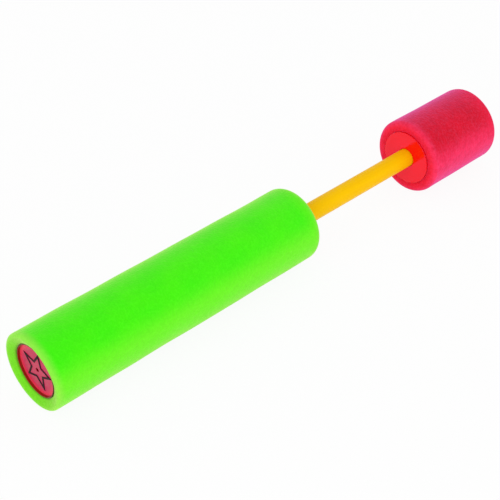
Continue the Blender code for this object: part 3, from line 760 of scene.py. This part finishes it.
# Painted shade: a dark line in the corner at the rim's foot.
def rim_corner(tree, place):
    """One on the rim, fading out over the corner at its foot."""
    return ramp(tree, axis_distance(tree, place), rim_bore - CORNER_WIDTH, rim_bore)


# Painted shade on the rim's front edge and outside, next to the foam.
def rim_edge(tree, place):
    """One on the rim's front edge and outside."""
    return ramp(tree, axis_distance(tree, place), rim_bore, rim_bore + RIM_WALL / 2)


tint_where(cap_plastic, orifice_wall, ORIFICE_SHADE)
tint_where(cap_plastic, rim_bounce_light, RIM_BOUNCE_RED)
tint_where(cap_plastic, rim_corner, CORNER_SHADE)
tint_where(cap_plastic, rim_edge, RIM_EDGE_SHADE)
add_piece(
    "nozzle_cap_moulding", [(revolve(cap_path, SHELL_TURNS), True, True)], cap_plastic, "barrel",
    ["nozzle_cap"],
)

# %% [markdown]
# A plain five-pointed star is drawn on the face as a raised line, a little fuller than the star that
# lines between every second point make. A curve with a bevel would round its tips. A star's sides are
# parallel to those of a smaller star about the same centre, so the line can be a stack of star outlines
# with sharp tips: each step across the line takes a star of another size at another height. Its two
# parameters are the corner and the step.

# %% Star line on the nozzle cap
STAR_POINTS = 5
STAR_RADIUS = 15.0 * MM
STAR_DENT = 0.45
STAR_LINE = 1.5 * MM
STAR_HEIGHT = 0.5 * MM
STAR_FOOT = 0.2 * MM
STAR_TURN = math.radians(30.0)
LINE_STEPS = 8


def star_corners():
    """Tips on the unit circle in even steps of 2 pi / n, and halfway between them the inner corners, at
    the dent's distance from the centre."""
    turn = STAR_TURN + np.arange(2 * STAR_POINTS) * math.pi / STAR_POINTS
    away = np.where(np.arange(2 * STAR_POINTS) % 2, STAR_DENT, 1.0)
    return np.stack([away * np.cos(turn), away * np.sin(turn)], axis=-1)


def star_line(face, foot):
    """A line of star outlines across a half-round section, closed underneath at the foot's depth.

    A side of the unit star lies dent * sin(pi / n) / the side's length from the centre. Moving a side
    inwards by d takes d over that distance off the radius.
    """
    half_turn = math.pi / STAR_POINTS
    side_length = math.sqrt(1 + STAR_DENT ** 2 - 2 * STAR_DENT * math.cos(half_turn))
    side_distance = STAR_DENT * math.sin(half_turn) / side_length
    turn = np.linspace(0, math.pi, LINE_STEPS + 1)
    inwards = STAR_LINE * (1 - np.cos(turn)) / 2
    height = STAR_HEIGHT * np.sin(turn)
    inwards = np.concatenate([inwards[:1], inwards, inwards[-1:]])
    height = np.concatenate([[-foot], height, [-foot]])
    radius = STAR_RADIUS - inwards / side_distance
    return at_x(star_corners()[None] * radius[:, None, None], (face - height)[:, None])


star_grid = star_line(face_x, STAR_FOOT)
add_piece("nozzle_star", [(star_grid, True, True)], star_paint, "barrel")

# %% [markdown]
# The rod is a length of extruded tube. The die leaves faint streaks along it. A wave texture would draw
# them too evenly, so a noise is stretched by a Mapping node: a streak is about a millimetre wide and
# some centimetres long.

# %% Yellow rod
ROD_WALL = 1.5 * MM
ROD_TURNS = 96
STREAK_LENGTH = 60 * MM
STREAK_WIDTH = 1.5 * MM
STREAK_RANGE = (0.4, 0.75)
STREAK_SHARE = 0.6
STREAK_COLOUR = (0.90, 0.49, 0.001)


def streaks(tree, place):
    """Noise with one step a streak's length along x, and one step a streak's width across."""
    scale = (1 / STREAK_LENGTH, 1 / STREAK_WIDTH, 1 / STREAK_WIDTH)
    stretched = add_node(tree, "ShaderNodeMapping", {"Vector": place, "Scale": scale}).outputs[0]
    return ramp(tree, noise(tree, stretched, 1.0, 3.0), *STREAK_RANGE, 0.0, STREAK_SHARE)


tint_where(yellow_plastic, streaks, STREAK_COLOUR)
rod_front, rod_rear = ends("plunger_rod")
rod_radius = reach("plunger_rod")[1]
rod_path = rounded_path([
    (rod_rear, rod_radius, EDGE_ROUND),
    (rod_front, rod_radius, EDGE_ROUND),
    (rod_front, rod_radius - ROD_WALL, 0),
    (rod_rear, rod_radius - ROD_WALL, 0),
], SHELL_STEP)
add_piece(
    "rod_tube", [(revolve(rod_path, ROD_TURNS), True, True)], yellow_plastic, "plunger",
    ["plunger_rod"],
)

# %% [markdown]
# The handle core is a hollow plastic drum inside the red foam. Its front disc stands a millimetre out
# of the foam, and its edge in the groove between the two is painted darker, as shade. A socket in its
# middle takes the rod. The path starts and ends on the axis, so the drum closes without a cap of its own.

# %% Handle core
CORE_WALL = 1.8 * MM
CORE_FACE = 2.5 * MM
CORE_ROUND = 0.5 * MM
SOCKET_CLEARANCE = 0.3 * MM
SOCKET_WALL = 2.2 * MM
SOCKET_FLOOR = 2.5 * MM
GROOVE_WIDTH = 0.5 * MM
GROOVE_SHADE = (0.75, 0.001, 0.001)

core_front, core_rear = ends("handle_core")
core_radius = reach("handle_core")[1]
socket_bore = rod_radius + SOCKET_CLEARANCE
socket_radius = socket_bore + SOCKET_WALL
socket_floor = rod_rear + SOCKET_CLEARANCE
core_path = rounded_path([
    (socket_floor + SOCKET_FLOOR, 0, 0),
    (socket_floor + SOCKET_FLOOR, socket_radius, 0),
    (core_front + CORE_FACE, socket_radius, 0),
    (core_front + CORE_FACE, core_radius - CORE_WALL, 0),
    (core_rear, core_radius - CORE_WALL, 0),
    (core_rear, core_radius, 0),
    (core_front, core_radius, CORE_ROUND),
    (core_front, socket_bore, EDGE_ROUND),
    (socket_floor, socket_bore, 0),
    (socket_floor, 0, 0),
], SHELL_STEP, closed=False)


# Painted shade: the core's rounded front edge is made darker in the groove.
def groove_edge(tree, place):
    """One on the core's outside, fading out over its rounded front edge."""
    return ramp(tree, axis_distance(tree, place), core_radius - GROOVE_WIDTH, core_radius)


tint_where(red_plastic, groove_edge, GROOVE_SHADE)
add_piece(
    "handle_core_moulding", [(revolve(core_path, SHELL_TURNS), False, True)], red_plastic, "plunger",
    ["handle_core"],
)

# %% [markdown]
# A round cap closes the rear of the core: a plate with a skirt that is pushed into the drum. It is one
# more turned path, from the middle of the plate's outside to the middle of its inside.

# %% Handle end cap
END_PLATE = 2.5 * MM
END_SKIRT_WALL = 1.6 * MM

end_front, end_rear = ends("handle_end_cap")
end_radius = reach("handle_end_cap")[1]
skirt_radius = core_radius - CORE_WALL - SOCKET_CLEARANCE
end_path = rounded_path([
    (end_rear, 0, 0),
    (end_rear, end_radius, CORE_ROUND),
    (end_rear - END_PLATE, end_radius, 0),
    (end_rear - END_PLATE, skirt_radius, 0),
    (end_front, skirt_radius, EDGE_ROUND),
    (end_front, skirt_radius - END_SKIRT_WALL, 0),
    (end_rear - END_PLATE, skirt_radius - END_SKIRT_WALL, 0),
    (end_rear - END_PLATE, 0, 0),
], SHELL_STEP, closed=False)
add_piece(
    "handle_end_moulding", [(revolve(end_path, SHELL_TURNS), False, True)], red_plastic, "plunger",
    ["handle_end_cap"],
)

# %% [markdown]
# The rod guide closes the rear of the barrel. Air has to get in and out behind the piston, so its web
# has a ring of small vents. Booleans would leave long thin faces round them, so a web with round holes is
# made from patches: each runs from a vent's circle to the edge of its sector, and one parameter goes
# round the vent while the other goes outwards.

# %% Vents of the rod guide
GUIDE_FLANGE = 3 * MM
GUIDE_SPIGOT_WALL = 2.2 * MM
GUIDE_CLEARANCE = 0.3 * MM
GUIDE_HUB_WALL = 2.7 * MM
VENT_COUNT = 6
VENT_RADIUS = 1.3 * MM
VENT_TURN = math.radians(33.75)
SECTOR_STEPS = 24
PATCH_STEPS = 6

guide_front, guide_rear = ends("rear_rod_guide")
web_front = guide_rear - GUIDE_FLANGE
guide_bore = rod_radius + GUIDE_CLEARANCE
hub_radius = guide_bore + GUIDE_HUB_WALL
pocket_radius = SPIGOT_RADIUS - GUIDE_SPIGOT_WALL


def vent_patch(sector):
    """Flat rings from a vent's circle to the edge of its sector, as (y, z) about the pump axis.

    The edge runs along the outer arc, in along a radius, back along the inner arc and out again. A ring
    point is (1 - v) times the circle's point plus v times the edge's, both seen in one direction.
    """
    width = 2 * math.pi / VENT_COUNT
    start = VENT_TURN + width * (sector - 0.5)
    along = start + width * np.arange(SECTOR_STEPS) / SECTOR_STEPS
    back = start + width * (1 - np.arange(SECTOR_STEPS) / SECTOR_STEPS)
    across = np.arange(PATCH_STEPS) / PATCH_STEPS
    span = pocket_radius - hub_radius
    turn = np.concatenate([along, np.full(PATCH_STEPS, start + width), back, np.full(PATCH_STEPS, start)])
    away = np.concatenate([
        np.full(SECTOR_STEPS, pocket_radius), pocket_radius - span * across,
        np.full(SECTOR_STEPS, hub_radius), hub_radius + span * across,
    ])
    edge = np.stack([away * np.cos(turn), away * np.sin(turn)], axis=-1)
    middle_turn, middle_away = start + width / 2, (pocket_radius + hub_radius) / 2
    centre = middle_away * np.array([math.cos(middle_turn), math.sin(middle_turn)])
    towards = edge - centre
    circle = centre + VENT_RADIUS * towards / np.linalg.norm(towards, axis=-1, keepdims=True)
    share = (np.arange(PATCH_STEPS + 1) / PATCH_STEPS)[:, None, None]
    return circle + share * (edge - circle)


guide_grids = []
for sector in range(VENT_COUNT):
    patch = vent_patch(sector)
    vent_wall = np.stack([at_x(patch[0], guide_rear), at_x(patch[0], web_front)])
    guide_grids += [
        (at_x(patch, guide_rear), False, True),
        (at_x(patch, web_front), False, True),
        (vent_wall, False, True),
    ]
print(VENT_COUNT, "vents, each", round(2 * VENT_RADIUS / MM, 1), "mm wide")

# %% [markdown]
# The rest of the guide is a flange with a spigot outside the vents and a hub for the rod inside them.
# These are two open paths, which end where the patches begin. They have as many steps round the axis as
# all the patches together, and start at a patch's corner, so that the points meet and can be merged.

# %% Rod guide
GUIDE_ROUND = 0.6 * MM

guide_radius = reach("rear_rod_guide")[1]
guide_turns = VENT_COUNT * SECTOR_STEPS
guide_start = VENT_TURN - math.pi / VENT_COUNT
outer_path = rounded_path([
    (guide_rear, pocket_radius, 0),
    (guide_rear, guide_radius, GUIDE_ROUND),
    (web_front, guide_radius, 0),
    (web_front, SPIGOT_RADIUS, 0),
    (guide_front, SPIGOT_RADIUS, GUIDE_ROUND),
    (guide_front, pocket_radius, 0),
    (web_front, pocket_radius, 0),
], SHELL_STEP, closed=False)
inner_path = rounded_path([
    (web_front, hub_radius, 0),
    (guide_front, hub_radius, 0),
    (guide_front, guide_bore, GUIDE_ROUND),
    (guide_rear, guide_bore, GUIDE_ROUND),
    (guide_rear, hub_radius, 0),
], SHELL_STEP, closed=False)
for path in (outer_path, inner_path):
    guide_grids.append((revolve(path, guide_turns, start=guide_start), False, True))
add_piece(
    "rod_guide_moulding", guide_grids, red_plastic, "barrel", ["rear_rod_guide"]
)

# %% [markdown]
# The tube, the piston, the O-rings and the pins stay as they came. They could be remade as the others
# were, but nothing shows of them until the toy is taken apart. They still get their own finishes.

# %% Finishes of the inner solids
INNER_FINISHES = {
    "barrel_tube": white_plastic,
    "piston_head": white_plastic,
    "nozzle_o_ring": black_rubber,
    "piston_o_ring_front": black_rubber,
    "piston_o_ring_rear": black_rubber,
    "swivel_pin_left": drawn_steel,
    "swivel_pin_right": drawn_steel,
    "handle_cross_pin": drawn_steel,
}
for node, material in INNER_FINISHES.items():
    slots = frame["nodes"][node].data.materials
    slots.clear()
    slots.append(material)
    print(node, "in", material.name)

# %% [markdown]
# The toy is shown on white, with soft light from all sides. A wide pale floor gives the shadow and
# bounces light to the underside. It could be lit until it is white, but that would bleach the toy too.
# So for the camera and in reflections the floor is mostly a plain white, which Light Path can tell apart
# from the light that it gives to the object.

# %% Floor
FLOOR_HALF_SIZE = 3.0
FLOOR_SQUARES = 8
FLOOR_PAINT = (0.9, 0.9, 0.9, 1)
FLOOR_GLOW = 0.93


def seen_directly(tree):
    """One for rays that the camera sees straight, by reflection or through glass, and zero for others."""
    rays = add_node(tree, "ShaderNodeLightPath").outputs
    total = math_node(tree, "ADD", rays["Is Camera Ray"], rays["Is Glossy Ray"])
    return math_node(tree, "MINIMUM", math_node(tree, "ADD", total, rays["Is Transmission Ray"]), 1.0)


floor_side = np.linspace(-FLOOR_HALF_SIZE, FLOOR_HALF_SIZE, FLOOR_SQUARES + 1)
floor_x, floor_y = np.meshgrid(floor_side, floor_side, indexing="ij")
floor_grid = np.stack([floor_x, floor_y, np.zeros_like(floor_x)], axis=-1)
floor = bpy.data.objects.new("floor", build_mesh("floor", [(floor_grid, False, False)]))
bpy.context.scene.collection.objects.link(floor)
floor_paint, tree, shader, _ = new_material("floor_paint", Base_Color=FLOOR_PAINT, Roughness=0.9)
glow = add_node(tree, "ShaderNodeEmission", {"Strength": 1.0})
share = math_node(tree, "MULTIPLY", seen_directly(tree), FLOOR_GLOW)
blend = add_node(tree, "ShaderNodeMixShader", {0: share, 1: shader.outputs[0], 2: glow.outputs[0]})
tree.links.new(blend.outputs[0], tree.nodes["Material Output"].inputs["Surface"])
floor.data.materials.append(floor_paint)
floor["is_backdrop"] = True
print("floor", 2 * FLOOR_HALF_SIZE, "m wide")

# %% [markdown]
# Most of the light is an even white from all round, as in a light tent. A sun would throw hard shadows
# on such a round toy. Two soft lamps only model it a little: a long one in front, low over the floor,
# and a square one at the left, which lights the nozzle cap and the handle's disc.

# %% World and lamps
WORLD_LIGHT = 0.85
LAMPS = (
    ("front_lamp", (0.25, -1.3, 0.25), (1.8, 0.5), 3.4),
    ("left_lamp", (-1.3, -0.4, 0.6), (1.0, 1.0), 4.7),
)

world = bpy.data.worlds.new("white_tent")
bpy.context.scene.world = world
world.use_nodes = True
tree = world.node_tree
background = tree.nodes["Background"]
background.inputs["Color"].default_value = (1, 1, 1, 1)
brightness = math_node(
    tree, "ADD", WORLD_LIGHT, math_node(tree, "MULTIPLY", seen_directly(tree), 1 - WORLD_LIGHT)
)
tree.links.new(brightness, background.inputs["Strength"])

aim = Vector(((cad_low.x + cad_high.x) / 2, AXIS_Y, AXIS_Z))
for name, place, size, power in LAMPS:
    lamp = bpy.data.lights.new(name, "AREA")
    lamp.shape = "RECTANGLE"
    lamp.size, lamp.size_y = size
    lamp.energy = power
    holder = bpy.data.objects.new(name, lamp)
    holder.location = place
    holder.rotation_euler = (aim - Vector(place)).to_track_quat("-Z", "Y").to_euler()
    bpy.context.scene.collection.objects.link(holder)
    print(name, power, "W,", round((aim - Vector(place)).length, 2), "m away")

# %% [markdown]
# The camera looks down on the toy from the nozzle's side. It could be placed by eye, but its angles and
# distance come from matching the outlines of both foams in the picture: the middle of the sleeve's front
# face is seen at one pixel, at a known depth, and the focal length in pixels gives the lens.

# %% Camera
PICTURE_SIZE = 500
FOCAL_PIXELS = 1261
VIEW_AZIMUTH = math.radians(-43.41)
VIEW_ELEVATION = math.radians(37.65)
NOZZLE_PIXEL = (31.2, 373.4)
NOZZLE_DEPTH = 0.7642
SENSOR_WIDTH = 36.0

camera_data = bpy.data.cameras.new("camera")
camera_data.sensor_fit = "HORIZONTAL"
camera_data.sensor_width = SENSOR_WIDTH
camera_data.lens = SENSOR_WIDTH * FOCAL_PIXELS / PICTURE_SIZE
camera = bpy.data.objects.new("camera", camera_data)
bpy.context.scene.collection.objects.link(camera)
bpy.context.scene.camera = camera

turn = Matrix.Rotation(VIEW_AZIMUTH, 3, "Z") @ Matrix.Rotation(math.pi / 2 - VIEW_ELEVATION, 3, "X")
sideways = (NOZZLE_PIXEL[0] - PICTURE_SIZE / 2) / FOCAL_PIXELS
upwards = (PICTURE_SIZE / 2 - NOZZLE_PIXEL[1]) / FOCAL_PIXELS
nozzle_middle = Vector((sleeve_front, AXIS_Y, AXIS_Z))
camera.location = nozzle_middle - turn @ Vector((sideways, upwards, -1)) * NOZZLE_DEPTH
camera.rotation_euler = turn.to_euler()
print("camera at", [round(v, 3) for v in camera.location])

# %% [markdown]
# Last come the view transform, which keeps colours as they are written, and the two boxes that show
# that the finished surfaces keep to the size of the solids.

# %% Finish
bpy.context.scene.view_settings.view_transform = "Standard"
bpy.context.view_layer.update()
visual_low, visual_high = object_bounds()
past_solids = [*(cad_low - visual_low), *(visual_high - cad_high)]
print("past the solids by", [round(v / MM, 2) for v in past_solids], "mm")
